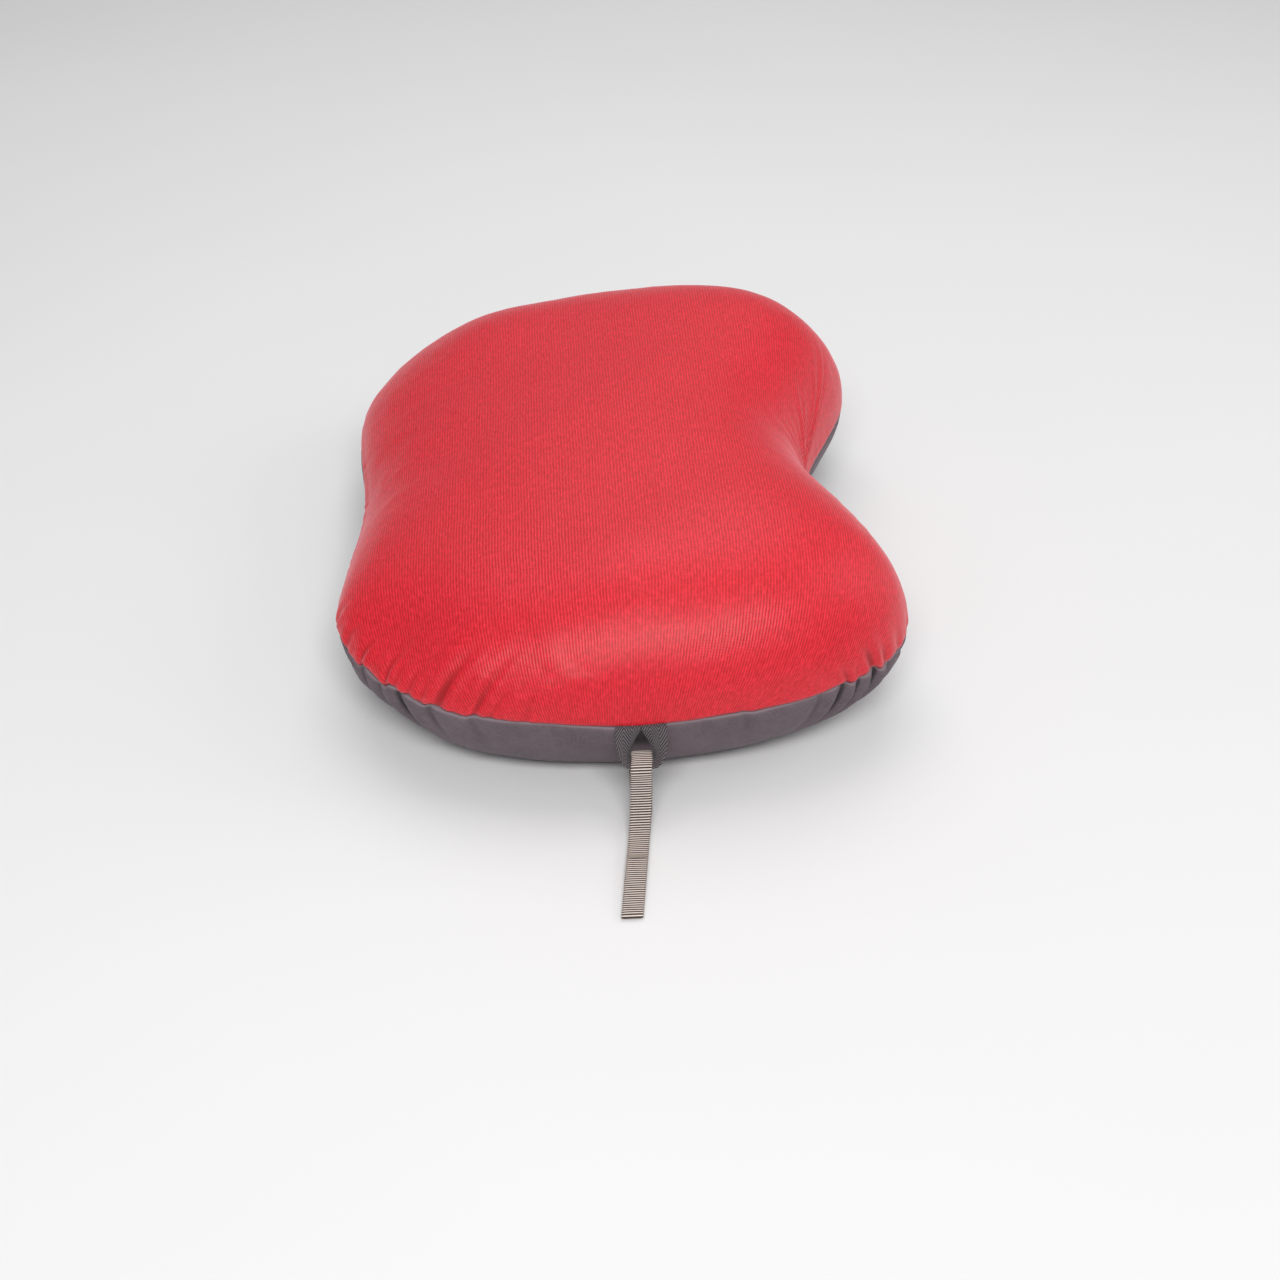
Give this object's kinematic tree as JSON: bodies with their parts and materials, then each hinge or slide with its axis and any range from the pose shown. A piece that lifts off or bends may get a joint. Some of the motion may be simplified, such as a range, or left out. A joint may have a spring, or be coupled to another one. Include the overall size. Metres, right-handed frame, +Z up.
{
  "type": "camp pillow",
  "caption": "Inflatable camp pillow with two lobes and a neck recess, a two-stage air valve, and an elastic strap between tape loops.",
  "frame": {"origin": "middle of the bounding box on the surface that the pillow stands on", "axes": "+X along the pillow's long axis, towards the end away from the picture's camera; -Y towards the neck recess; +Z up"},
  "size_m": [0.5332, 0.2852, 0.1147],
  "materials": {
    "top_knit": "brushed fine-rib knit, soft pile sheen",
    "bottom_knit": "smooth woven polyester, matt",
    "overlock_thread": "thread",
    "fibre": "microfibre batt",
    "film": "translucent urethane film, satin",
    "tape": "herringbone twill tape",
    "elastic": "ribbed elastic webbing",
    "tack_thread": "dense zigzag stitching",
    "valve_plastic": "fine spark-eroded texture",
    "valve_rubber": "satin"
  },
  "bodies": {
    "pillow": {"cover_top": "top_knit", "cover_bottom": "bottom_knit", "seam_allowance": "overlock_thread", "fibre_pad": "fibre", "bladder_top": "film", "bladder_bottom": "film", "valve_binding": "tape", "valve_seat": "valve_plastic", "loop_near": "tape", "loop_far": "tape", "strap": "elastic", "bartack_near": "tack_thread", "bartack_far": "tack_thread"},
    "plug": {"valve_plug": "valve_plastic", "valve_diaphragm": "valve_rubber"},
    "cap": {"valve_cap": "valve_plastic"}
  },
  "joints": [
    {"name": "plug_hinge", "type": "hinge", "parent": "pillow", "child": "plug", "pos_m": [0, 0.13736, 0.03305], "axis": [1, 0, 0], "range_deg": [0, 60]},
    {"name": "cap_hinge", "type": "hinge", "parent": "plug", "child": "cap", "pos_m": [0, 0.13864, 0.03206], "axis": [1, 0, 0], "range_deg": [0, 110]}
  ]
}
